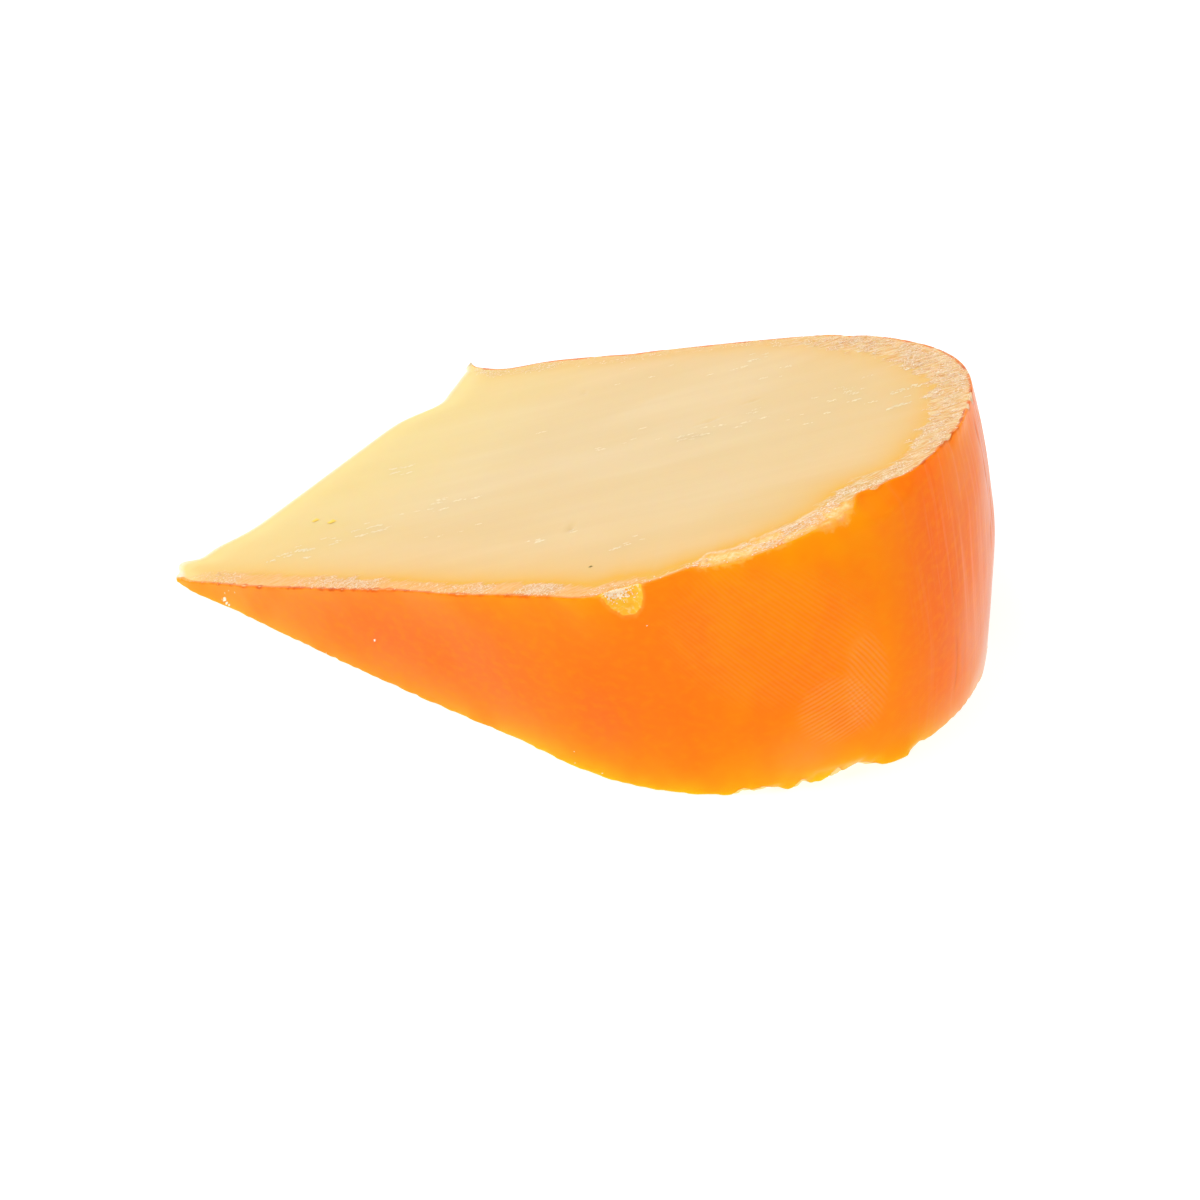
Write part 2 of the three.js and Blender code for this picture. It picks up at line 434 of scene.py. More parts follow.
def lattice(column, row, seed):
    """A number from -1 to 1 for each crossing of a square lattice."""
    mixed = (column * 374761393 + row * 668265263 + seed * 974634777) & 0xFFFFFFFF
    mixed = ((mixed ^ (mixed >> 13)) * 1274126177) & 0xFFFFFFFF
    mixed = mixed ^ (mixed >> 16)
    return (mixed & 0xFFFF) / 32767.5 - 1


def noise(x, y, seed):
    """Smooth noise from -1 to 1 with a wavelength of about 1."""
    x, y = np.broadcast_arrays(np.asarray(x, float), np.asarray(y, float))
    column = np.floor(x).astype(np.int64)
    row = np.floor(y).astype(np.int64)
    across = smooth(x - column, 0, 1)
    up = smooth(y - row, 0, 1)
    low, high = (
        lattice(column, at, seed) * (1 - across) + lattice(column + 1, at, seed) * across
        for at in (row, row + 1)
    )
    return low * (1 - up) + high * up


def rough(x, y, seed, octaves=3):
    """Noise with finer noise on top, each octave half the size of the one before."""
    total = 0
    for octave in range(octaves):
        total = total + noise(x * 2**octave, y * 2**octave, seed + octave) / 2**octave
    return total


def turned(u, v, degrees):
    """Coordinates along and across a direction of the cut face."""
    angle = math.radians(degrees)
    return (
        u * math.cos(angle) + v * math.sin(angle),
        v * math.cos(angle) - u * math.sin(angle),
    )


# ---- the outline and the side
RIM_LENGTH = math.pi * (RIM_DEPTH + WHEEL_HEIGHT / 2) / 2
RIM_START = SHOULDER_RADIUS
RIM_END = SHOULDER_RADIUS + RIM_LENGTH
THIN_START = RIM_END + SHOULDER_RADIUS
OUTLINE_LENGTH = THIN_START + HEIGHT_AT_AXIS


def beyond(station, at):
    """How far a station lies past another one, the short way round the outline."""
    return np.mod(station - at + OUTLINE_LENGTH / 2, OUTLINE_LENGTH) - OUTLINE_LENGTH / 2


def thin_edge_radius(v):
    """The u of the broken thin edge."""
    return THIN_EDGE_SETBACK - bells(THIN_EDGE_FEATURES, v)


def half_height(u):
    """Half of the wheel's height, which is least at its axis."""
    return (HEIGHT_AT_AXIS + (WHEEL_HEIGHT - HEIGHT_AT_AXIS) * u / SHOULDER_RADIUS) / 2


def fuller(c):
    """A sine or cosine that makes the rim a little squarer than an ellipse."""
    return np.sign(c) * np.abs(c) ** (2 / RIM_FULLNESS)


def soft_direction(station, out_u, out_v, radius=CORNER_RADIUS):
    """The outward direction, turned gradually round the two corners at the thin edge."""
    for at, angle in ((OUTLINE_LENGTH, math.pi), (THIN_START, math.pi / 2)):
        past = beyond(station, at)
        turn = angle + math.pi / 2 * smooth(past, -radius, radius)
        near = np.abs(past) < radius
        out_u = np.where(near, np.cos(turn), out_u)
        out_v = np.where(near, np.sin(turn), out_v)
    return out_u, out_v


def outline(station, broken=True):
    """Place and outward direction on the outline, and where it carries the coat."""
    station = np.mod(station, OUTLINE_LENGTH)
    half = HEIGHT_AT_AXIS / 2
    turn = math.pi * (station - RIM_START) / RIM_LENGTH - math.pi / 2
    thin = thin_edge_radius if broken else lambda v: THIN_EDGE_SETBACK + 0 * v
    ends = [thin(-half), thin(half)]
    near_u = ends[0] + (SHOULDER_RADIUS - ends[0]) * station / SHOULDER_RADIUS
    far_u = SHOULDER_RADIUS + (ends[1] - SHOULDER_RADIUS) * (station - RIM_END) / SHOULDER_RADIUS
    thin_v = half - (station - THIN_START)
    zero = 0 * station
    places = [station < RIM_START, station < RIM_END, station < THIN_START, station >= THIN_START]
    rim_u = SHOULDER_RADIUS + RIM_DEPTH * fuller(np.cos(turn))
    rim_v = WHEEL_HEIGHT / 2 * fuller(np.sin(turn))
    u = np.select(places, [near_u, rim_u, far_u, thin(thin_v)])
    v = np.select(places, [-half_height(near_u), rim_v, half_height(far_u), thin_v])
    out_u = np.select(places, [zero, np.cos(turn), zero, zero - 1])
    out_v = np.select(places, [zero - 1, np.sin(turn), zero + 1, zero])
    return u, v, out_u, out_v, ~places[3]


def wedge_height(u):
    """Height of the wedge above the lower cut, a little more than nothing at the axis."""
    rise = u * math.tan(WEDGE_ANGLE)
    return (rise + np.hypot(rise, 2 * THIN_EDGE_THICKNESS)) / 2


def edge_shift(features, station, away):
    """Outward shift of the side near one of its edges, at a distance away from that edge."""
    shift = 0 * station
    for at, size, width, reach in features:
        shift += size * bell(station - at, width) * (1 - smooth(away, 0, reach))
    return shift


def frame_shift(station, height, full, coated):
    """Outward shift of the side that the frame's solid has too."""
    shift = edge_shift(EDGE_FEATURES, station, full - height)
    shift += sum(
        size * np.sin(2 * math.pi * (station + height - start) / length)
        for size, length, start in COAT_WAVES
    )
    shift = np.where(coated, shift, 0)
    for first, last, reach, depth in LOWER_BREAKS:
        low = 1 - smooth(height, 0, reach)
        shift = shift - depth * window(station, first, last, BREAK_RAMP) * low
    return shift


def chip_distance(station, down):
    """Signed distance to the chip's outline, positive inside it."""
    corners = np.array(CHIP_OUTLINE)
    nearest = np.full(station.shape, 1e9)
    inside = np.zeros(station.shape, bool)
    for (s0, d0), (s1, d1) in zip(corners, np.roll(corners, -1, axis=0)):
        share = ((station - s0) * (s1 - s0) + (down - d0) * (d1 - d0)) / (
            (s1 - s0) ** 2 + (d1 - d0) ** 2
        )
        share = np.clip(share, 0, 1)
        away = np.hypot(station - s0 - share * (s1 - s0), down - d0 - share * (d1 - d0))
        nearest = np.minimum(nearest, away)
        crosses = (d0 > down) != (d1 > down)
        with np.errstate(divide="ignore", invalid="ignore"):
            at = s0 + (down - d0) * (s1 - s0) / (d1 - d0)
        inside ^= crosses & (station < at)
    return np.where(inside, nearest, -nearest)


def bevel(station):
    """Depth and width of the worn bevel along the upper edge."""
    strength = window(station, *BEVEL_STATIONS, BEVEL_RAMP)
    depth = strength * BEVEL_DROP * (1 + 0.3 * noise(station / 4, 0, 11))
    width = BEVEL_WIDTH * (0.35 + 0.65 * strength) * (1 + 0.3 * noise(station / 5, 0, 12))
    return depth, width


def upper_gap(station, down):
    """Distance down the side from the coat's torn upper edge."""
    ragged = 0.1 + 0.3 * smooth(station, 112, 150)
    upper = bells(UPPER_NICKS, station) + 0.14 * (rough(station / 1.0, 0, 22) - 0.1)
    return down - upper - ragged * (rough(station / 3.4, 0, 21) - 0.6)


def coat_line(station):
    """Strength of the dark line along the coat's upper edge, which breaks into dots."""
    dots = 0.65 + 0.35 * rough(station / 1.4, 0, 23)
    return np.clip(along(COAT_LINE_LEVELS, station) * dots, 0, 1)


def coat_distance(station, height, top):
    """Distance inside the coat's torn edges, negative where the coat is gone."""
    ragged = 0.1 + 0.22 * smooth(station, 100, 150)
    lower = bells(LOWER_NICKS, station) + ragged * (rough(station / 2.1, 0, 31) - 0.1)
    distance = np.minimum(upper_gap(station, top - height), height - lower)
    chip = chip_distance(station, top - height) + 0.15 * noise(station / 0.8, height / 0.8, 41)
    distance = np.minimum(distance, -chip)
    from_ends = np.minimum(station, THIN_START - station) - NO_COAT
    return np.where(station < THIN_START, np.minimum(distance, from_ends), NO_COAT)


def round_corner(station, u, v):
    """Moves the side to where it is worn at the thin edge's near corner."""
    for at, along_u, along_v, width in CORNER_MOVES:
        share = bell(beyond(station, at), width)
        u = u + along_u * share
        v = v + along_v * share
    return u, v


def side(station, height, inward=0.0, fine=True):
    """A point of the side and its distance inside the coat."""
    u, v, out_u, out_v, coated = outline(station)
    full = wedge_height(u)
    plain = frame_shift(station, height, full, coated)
    shift = 0 * plain - inward
    coat = coat_distance(station, height, full - bevel(station)[0])
    if fine:
        down = full - height
        flush = FLUSH_SHARE * smooth(down, 4, 2) * smooth(station, *TORN_STATIONS)
        standing = coated * (1 - flush)
        crumbly = 1 + rough(station / 1.3, height / 1.3, 51)
        low = 1 - smooth(height, 0, 0.8)
        shift -= standing * COAT_THICKNESS * (1 - smooth(coat, *COAT_FRINGE))
        shift -= standing * smooth(-coat, 0, 0.6) * TORN_DEPTH * crumbly
        shift += coated * edge_shift(UPPER_DETAILS, station, down)
        shift += coated * edge_shift(LOWER_DETAILS, station, height)
        shift -= CHIP_DEPTH * smooth(chip_distance(station, down), 0, 1.6)
        shift += coated * COAT_UNEVENNESS * rough(station / 15, height / 11, 61)
        shift -= CREASE_DEPTH * creases(station, height, full)
        shift += coated * FOOT_CRUMBLE * low * noise(station / 1.1, 0, 81)
    soft_u, soft_v = soft_direction(station, out_u, out_v)
    u = u + out_u * plain + soft_u * shift
    v = v + out_v * plain + soft_v * shift
    if fine:
        u, v = round_corner(station, u, v)
    level = height / full
    angle = WEDGE_ANGLE * level
    z = wedge_height(u) * np.sin(angle) / math.tan(WEDGE_ANGLE)
    return np.stack([u * np.cos(angle), v, z], -1), coat


def creases(station, height, full):
    """Depth of the coat's upright creases round the rim: 0 to 1, and more in its wrinkles. The
    coat's colour is darkened by it as painted shade.
    """
    strength = window(station, *CREASE_STATIONS, 8) * smooth(full, 10, 30)
    bent = station + 0.35 * noise(station / 6, height / 9, 73)
    folds = noise(bent / 1.15, height / 21, 71) + 0.5 * noise(bent / 0.8, height / 9, 72)
    return strength * smooth(folds, 0.45, 1.0) + WRINKLE_LEVEL * wrinkles(station, height, full)


def wrinkles(station, height, full):
    """A few deeper wrinkles down the rim, broken into dashes, from 0 to 1."""
    total = 0 * station
    for at, low, high, strength in WRINKLES:
        beside = station - at - 0.7 * noise(height / 6, at, 74)
        dashes = smooth(noise(height / 4, at, 75), -0.6, 0.5)
        reach = window(height / full, low, high, 0.08)
        total += strength * bell(beside, WRINKLE_WIDTH) * dashes * reach
    return np.minimum(total, 1)


def coat_dye(station, height, full):
    """Colour of the coat as its dye took it, with painted reflection and painted light from the
    floor, as red, green and blue on a screen.
    """
    steps, dyes = zip(*DYE_AND_REFLECTION_ALONG_RIM)
    drift = 2.5 * noise(station / 6, height / 16, 151) * smooth(station, 150, 180)
    colour = np.stack([np.interp(station + drift, steps, dye) for dye in zip(*dyes)], -1)
    for at, up, wide, tall, level, tint in TINT_AND_REFLECTION_PATCHES:
        weight = level * bell(np.hypot((station - at) / wide, (height - up) / tall), 1.0)
        colour = colour + weight[:, None] * (np.array(tint) - colour)
    near_top = np.exp(-np.maximum(full - height, 0) / TOP_YELLOWING[1])
    near_foot = np.exp(-height / FOOT_FLOOR_LIGHT[1])
    past_thin_edge = 0.75 + 0.45 * smooth(station, 45, 95)
    rim = window(station, 150, 200, 14)
    colour[:, 0] += 18 * rim * (near_top + near_foot)
    colour[:, 1] += TOP_YELLOWING[0] * near_top * (1 - 0.7 * rim)
    # Painted light from the floor: the coat is yellower by its lower edge.
    colour[:, 1] += FOOT_FLOOR_LIGHT[0] * near_foot * past_thin_edge
    colour[:, 2] *= 1 - 0.7 * near_top * window(station, 60, 190, 20)
    # Painted light from the floor: paler and bluer at the foot of the rim.
    colour[:, 2] += 80 * near_foot * rim
    return screen_to_linear(np.clip(colour, 0, 255))


# ---- the upper cut
def tear_weights(station):
    """Three tear directions in degrees, each with how much it counts at a station."""
    angle = along(TEAR_ANGLES, station)
    steep = smooth(angle, 42, 54)
    flat = 1 - smooth(angle, 26, 40)
    return (56.0, steep), (40.0, 1 - steep - flat), (23.0, flat)


def band_strength(u, v, inset, station):
    """How strongly the cut is torn, from 0 to 1, with fingers that reach inward."""
    width = along(BAND_WIDTHS, station)
    a, b = turned(u, v, 35)
    fingers = 0.18 * noise(a / 4.2, b / 1.6, 101) + 0.14 * noise(a / 1.8, b / 0.7, 102)
    reach = inset / width + fingers
    level = along(BAND_LEVELS, station) * smooth(THIN_START - station, 0, 6)
    return (1 - smooth(reach, 0.72, 1.08)) * level


def painted_coat_glow(inset, station):
    """How much painted glow of the coat's colour, scattered into the cheese, shows near the coated
    edges.
    """
    further_in = np.maximum(inset - 0.8 * along(BAND_WIDTHS, station), 0)
    warm = sum(share * np.exp(-further_in / fade) for share, fade in WARM_REACHES)
    return warm * along(WARM_LEVELS, station)


def tears(u, v, station):
    """The torn band's ridges, elongated along its tears, from about -1 to 1."""
    total = 0
    for degrees, weight in tear_weights(station):
        a, b = turned(u, v, degrees)
        b = b + 0.35 * noise(a / 2.2, b / 2.2, 111)
        ridges = 0.7 * noise(a / 3.2, b / 0.95, 112) + 0.4 * noise(a / 1.6, b / 0.55, 113)
        total = total + weight * ridges
    return total


def crest(inset, station):
    """Strength of the pale crest where the bevel meets the knife's cut, whose paleness is a painted
    highlight.
    """
    width = bevel(station)[1] * window(station, *BEVEL_STATIONS, BEVEL_RAMP)
    line = bell(inset - CREST_OFFSET - width, CREST_WIDTH) * window(station, *CREST_STATIONS, 1.5)
    strength = 0.75 + 0.25 * smooth(station, 116, 121)
    return line * strength * (0.85 + 0.15 * noise(station / 1.3, 0, 114))


def upper_cut(u, v, inset, station):
    """A point of the upper cut with its relief, and how torn and how worn it is."""
    band = band_strength(u, v, inset, station)
    a, b = turned(u, v, KNIFE_ANGLE)
    depth, width = bevel(station)
    worn = (1 - smooth(inset / width, 0.7, 1.0)) * smooth(depth, 0, 0.5)
    band = band * (1 - worn)
    lift = 0.07 * noise(a / 55, b / 9, 121) + 0.025 * noise(a / 30, b / 2.6, 122)
    lift *= smooth(inset, 0, 6)
    lift += band * (TEAR_RELIEF * tears(u, v, station) - 0.03)
    lift -= CUT_SAG * (1 - np.exp(-inset / SAG_FADE))
    lift -= depth * np.clip(1 - inset / width, 0, 1) ** 1.2
    lift += CREST_LIFT * crest(inset, station)
    for at_u, at_v, radius, deep in PITS:
        lift -= deep * bell(np.hypot(u - at_u, v - at_v), radius)
    lift = np.maximum(lift, -THINNEST_SHARE * wedge_height(u))
    x = u * math.cos(WEDGE_ANGLE) - lift * math.sin(WEDGE_ANGLE)
    z = wedge_height(u) * math.cos(WEDGE_ANGLE) + lift * math.cos(WEDGE_ANGLE)
    return np.stack([x, v, z], -1), band, worn


def nearest_on_edge(u, v, edge):
    """Distance to the edge of the cut and the number of its nearest point."""
    best = np.empty(u.size)
    which = np.empty(u.size, int)
    for start in range(0, u.size, AT_A_TIME):
        part = slice(start, start + AT_A_TIME)
        away = np.hypot(u[part, None] - edge[:, 0], v[part, None] - edge[:, 1])
        which[part] = away.argmin(1)
        best[part] = away.min(1)
    return best, which


# ---- meshes
def to_row_frame(points):
    """Wheel frame in millimetres to row frame in metres."""
    return (points + ORIGIN) * MM


def placed(name, data):
    """A new object in the scene."""
    made = bpy.data.objects.new(name, data)
    bpy.context.collection.objects.link(made)
    return made


def mesh_object(name, points, faces, attributes):
    """A smooth mesh whose points carry the named attributes."""
    mesh = bpy.data.meshes.new(name)
    mesh.from_pydata(points.tolist(), [], faces)
    for key, values in attributes.items():
        kind = "FLOAT" if values.ndim == 1 else "FLOAT_VECTOR"
        made = mesh.attributes.new(key, kind, "POINT")
        made.data.foreach_set("value" if values.ndim == 1 else "vector", values.ravel())
    mesh.shade_smooth()
    mesh.update()
    return placed(name, mesh)


def ring_faces(rings, columns):
    """Quads between rings that run from one pole to the other, and the fans at the poles."""
    first = 1 + np.arange(rings - 1)[:, None] * columns
    column = np.arange(columns)
    after = (column + 1) % columns
    quads = np.stack(
        [first + column, first + after, first + columns + after, first + columns + column], -1
    ).reshape(-1, 4)
    last = 1 + (rings - 1) * columns
    pole = last + columns
    bottom = np.stack([0 * column, 1 + after, 1 + column], -1)
    top = np.stack([last + column, last + after, 0 * column + pole], -1)
    return quads.tolist() + bottom.tolist() + top.tolist()


def stations_of_columns():
    """The station of each column of the body's mesh."""
    parts = []
    start = 0.0
    for end, count in COLUMNS:
        end = min(end, OUTLINE_LENGTH)
        parts.append(np.linspace(start, end, count, endpoint=False))
        start = end
    return np.concatenate(parts)


def inward_path(edge, station, share):
    """Goes from the edge of a cut (share 0) straight in at first, then to the middle (share 1)."""
    u, v, out_u, out_v, _ = outline(station, broken=False)
    outward = np.stack(soft_direction(station, out_u, out_v, PATH_RADIUS), -1)
    plain = np.stack([u, v], -1)
    middle = np.array(CUT_MIDDLE)
    inner = plain + PATH_TURN * (middle - plain)
    if share >= PATH_TURN:
        return inner + (share - PATH_TURN) / (1 - PATH_TURN) * (middle - inner)
    t = share / PATH_TURN
    control = edge - outward * PATH_CONTROL
    return (1 - t) ** 2 * edge + 2 * t * (1 - t) * control + t * t * inner


def columns_inward(edge, station, shares):
    """Rows of places on a cut from its edge inward, evened out at the corners of the thin edge."""
    paths = [inward_path(edge, station, share) for share in shares]
    middle = np.tile(np.array(CUT_MIDDLE), (station.size, 1))
    rows = np.stack([*paths, middle])
    depth = np.append(shares, 1.0) * RELAX_DEPTH
    down = (depth[1:-1] - depth[:-2])[:, None, None]
    up = (depth[2:] - depth[1:-1])[:, None, None]
    after = np.mod(np.roll(station, -1) - station, OUTLINE_LENGTH)[None, :, None]
    before = np.roll(after, 1, axis=1)
    weights = [1 / down / (down + up), 1 / up / (down + up)]
    weights += [1 / after / (after + before), 1 / before / (after + before)]
    near_corner = (station < RELAX_REACH) | (station > OUTLINE_LENGTH - RELAX_REACH_AT_LIP)
    near_corner |= np.abs(station - THIN_START) < RELAX_REACH
    for _ in range(RELAX_ROUNDS):
        inner = rows[1:-1]
        around = rows[:-2], rows[2:], np.roll(inner, -1, axis=1), np.roll(inner, 1, axis=1)
        even = sum(weight * place for weight, place in zip(weights, around)) / sum(weights)
        rows[1:-1] = np.where(near_corner[None, :, None], even, inner)
    return rows[:-1]


# The numbers that every point of the body carries, besides its place and the coat's dye with its
# painted light.
POINT_VALUES = ("coat", "band", "crest", "worn", "warm", "thin", "crease", "line", "is_cut")


def blank_values(count):
    """What a row of points carries, before anything is set."""
    values = {name: np.zeros(count) for name in POINT_VALUES}
    values["place"] = np.zeros((count, 3))
    values["dye"] = np.zeros((count, 3)) + screen_to_linear(DYE_ORANGE)
    return values


def thinness(u, v):
    """1 at the thin edge, and fading away from it."""
    return np.exp(-np.maximum(u - thin_edge_radius(v), 0) / THIN_FADE)


def side_ring(station, height, inward=0.0):
    """A ring of the side; along the thin edge it counts as cut cheese."""
    points, coat = side(station, height, inward)
    u, v, _, _, coated = outline(station)
    full = wedge_height(u)
    down = full - height
    depth = bevel(station)[0]
    chip = smooth(chip_distance(station, down), -1.0, 0.0)
    worn = smooth(depth, 0, 0.5) * smooth(down - depth, 3.0, 1.0) * coated
    near_top = smooth(down - depth, 3.0, 1.5)
    on_coat = np.stack([station, height, 0 * u], -1)
    on_cut = np.stack([u, v, 0 * u], -1)
    upper_line = coat_line(station) * smooth(upper_gap(station, down - depth), 0.6, 0.15)
    broken = smooth(bells(LOWER_NICKS, station), 0.3, 0.9) * smooth(coat, 0.7, 0.1)
    values = dict(
        coat=coat,
        band=near_top * (1 - chip) * (1 - worn) * coated,
        crest=CREST_ON_SIDE * near_top * smooth(station, *TORN_STATIONS) * coated,
        worn=worn,
        warm=chip,
        thin=thinness(u, v),
        crease=creases(station, height, full) * coated,
        line=np.maximum(upper_line, 0.4 * broken * smooth(height, 5, 3)),
        is_cut=1.0 - coated,
        place=np.where(coated[:, None], on_coat, on_cut),
        dye=coat_dye(station, height, full),
    )
    return points, values


def cut_values(u, v, inset, station):
    """What a row on either cut carries wherever it lies."""
    values = blank_values(u.size)
    values.update(is_cut=np.ones(u.size), warm=painted_coat_glow(inset, station), thin=thinness(u, v))
    values["place"] = np.stack([u, v, 0 * u], -1)
    return values


def lower_ring(station, base, row):
    """A ring of the lower cut, whose places are also its points."""
    u, v = row.T
    inset = nearest_on_edge(u, v, base)[0]
    values = cut_values(u, v, inset, station)
    values.update(coat=-0.3 - inset, dye=coat_dye(station, 0 * u, wedge_height(u)))
    return values["place"], values


def upper_ring(station, edge, row):
    """A ring of the upper cut; the coat's edge shows as a thin line on it."""
    u, v = row.T
    inset, which = nearest_on_edge(u, v, edge)
    nearest = station[which]
    coated = station < THIN_START
    from_coat, which = nearest_on_edge(u, v, edge[coated])
    values = cut_values(u, v, from_coat, station[coated][which])
    points, values["band"], values["worn"] = upper_cut(u, v, inset, nearest)
    line = COAT_LINE_WIDTH * (1 + 0.5 * noise(nearest / 1.5, 0, 131)) - bevel(nearest)[0]
    line = line * (1 + smooth(nearest, 250, 275))
    broken = np.minimum(line, upper_gap(nearest, 0 * nearest) + 0.15)
    line = line + smooth(nearest, 150, 160) * (broken - line)
    values["coat"] = np.where(nearest < THIN_START, line - inset, NO_COAT)
    values["crest"] = crest(inset, nearest)
    values["line"] = coat_line(nearest) * (values["coat"] > -0.5)
    values["dye"] = coat_dye(nearest, wedge_height(u), wedge_height(u))
    return points, values


def body_rings():
    """The body's rings from the lower cut's middle, up the side, to the upper cut's middle."""
    station = stations_of_columns()
    full = wedge_height(outline(station)[0])
    top = full - bevel(station)[0]
    corner = np.minimum(ROUNDING_SHARE * full, UPPER_ROUNDING)
    foot = np.minimum(ROUNDING_SHARE * full, LOWER_ROUNDING)
    quarter = np.arange(ROUNDING_RINGS + 1) / ROUNDING_RINGS * math.pi / 2

    base = side(station, 0 * station, foot)[0][:, :2]
    shares = (np.arange(LOWER_RINGS) / LOWER_RINGS) ** LOWER_CROWDING
    rows = columns_inward(base, station, shares)[::-1]
    rings = [lower_ring(station, base, row) for row in rows]
    for turn in quarter[1:]:
        rings.append(side_ring(station, foot * (1 - math.cos(turn)), foot * (1 - math.sin(turn))))
    step = np.arange(1, SIDE_RINGS) / SIDE_RINGS
    for share in step - SIDE_CROWDING * np.sin(2 * math.pi * step) / (2 * math.pi):
        rings.append(side_ring(station, foot + share * (top - corner - foot)))
    for turn in quarter[:-1]:
        height = top - corner * (1 - math.sin(turn))
        rings.append(side_ring(station, height, corner * (1 - math.cos(turn))))
    rim = side(station, top, corner)[0]
    edge = np.stack([np.hypot(rim[:, 0], rim[:, 2]), rim[:, 1]], -1)
    step = np.arange(0, UPPER_RINGS) / UPPER_RINGS
    shares = UPPER_EVENNESS * step + (1 - UPPER_EVENNESS) * step**3
    rings.extend(upper_ring(station, edge, row) for row in columns_inward(edge, station, shares))
    return station, rings


def make_body():
    """The whole wedge as one closed mesh, with cut and coat as its two materials."""
    station, rings = body_rings()
    place = np.array([[*CUT_MIDDLE, 0.0]])
    far_in = np.array([WHEEL_HEIGHT / 2])
    top = upper_cut(place[:, 0], place[:, 1], far_in, np.zeros(1))[0]
    at_pole = blank_values(1) | {"coat": -far_in, "is_cut": np.ones(1), "place": place}
    rows = [(place, at_pole), *rings, (top, at_pole)]
    points = np.concatenate([row[0] for row in rows])
    attributes = {key: np.concatenate([row[1][key] for row in rows]) for key in at_pole}
    faces = ring_faces(len(rings), station.size)
    body = mesh_object("wedge_body", to_row_frame(points), faces, attributes)
    body.data.materials.append(cheese_material("cut", CUT_GLOSS))
    body.data.materials.append(cheese_material("coat", COAT_GLOSS))
    on_coat = np.array([attributes["is_cut"][list(face)].mean() < 0.5 for face in faces])
    body.data.polygons.foreach_set("material_index", on_coat.astype(int))
    return body


# ---- small pieces on the surface
# Directions of a sliver's three long edges, seen along it: two on top and one below.
SLIVER_CORNERS = (0.35, 2.79, 4.71)


def slivers(name, centre, axes, size, lean, shade):
    """Many small closed slivers in one mesh, three-sided and pointed at both ends.

    The axes are the sliver's own length, width and thickness directions, each one row a sliver,
    and lean says how far its thickest place is from its middle.
    """
    count = len(centre)
    forward, sideways, upward = axes
    length, width, thickness = size
    points = [centre - forward * (0.5 * length)[:, None]]
    for angle in SLIVER_CORNERS:
        point = centre + forward * (lean * length)[:, None]
        point = point + sideways * (0.5 * width * math.cos(angle))[:, None]
        points.append(point + upward * (0.5 * thickness * math.sin(angle))[:, None])
    points.append(centre + forward * (0.5 * length)[:, None])
    points = np.stack(points, 1).reshape(-1, 3)
    pattern = np.array([[0, 2, 1], [0, 3, 2], [0, 1, 3], [4, 1, 2], [4, 2, 3], [4, 3, 1]])
    faces = (pattern + 5 * np.arange(count)[:, None, None]).reshape(-1, 3)
    piece = mesh_object(name, to_row_frame(points), faces.tolist(), {"shade": np.repeat(shade, 5)})
    piece.data.shade_flat()
    return piece


def along_and_across(first, second, degrees):
    """Directions along and across an angle that turns from the first towards the second."""
    angle = np.radians(degrees)[:, None]
    along_it = np.cos(angle) * first + np.sin(angle) * second
    return along_it, np.cos(angle) * second - np.sin(angle) * first


def cut_axes(degrees, tilt=0.0):
    """Length, width and thickness directions on the upper cut, for a direction in the cut."""
    u_way = np.array([math.cos(WEDGE_ANGLE), 0.0, math.sin(WEDGE_ANGLE)])
    normal = np.array([-math.sin(WEDGE_ANGLE), 0.0, math.cos(WEDGE_ANGLE)])
    forward, sideways = along_and_across(u_way, np.array([0.0, 1.0, 0.0]), degrees)
    tilt = np.broadcast_to(tilt, degrees.shape)[:, None]
    return forward * np.cos(tilt) + normal * np.sin(tilt), sideways, normal - forward * np.sin(tilt)


def side_axes(station, degrees):
    """Length, width and thickness directions on the side, for a direction up from the edge."""
    out_u, out_v = outline(station)[2:4]
    onward = np.stack([-out_v, out_u, 0 * out_u], -1)
    forward, sideways = along_and_across(onward, np.array([0.0, 0.0, 1.0]), degrees)
    return forward, sideways, np.stack([out_u, out_v, 0 * out_u], -1)


def inset_of(u, v):
    """Distance in from the plain outline."""
    edge = np.stack(outline(np.arange(0, OUTLINE_LENGTH, EDGE_STEP))[:2], -1)
    return nearest_on_edge(u, v, edge)[0]


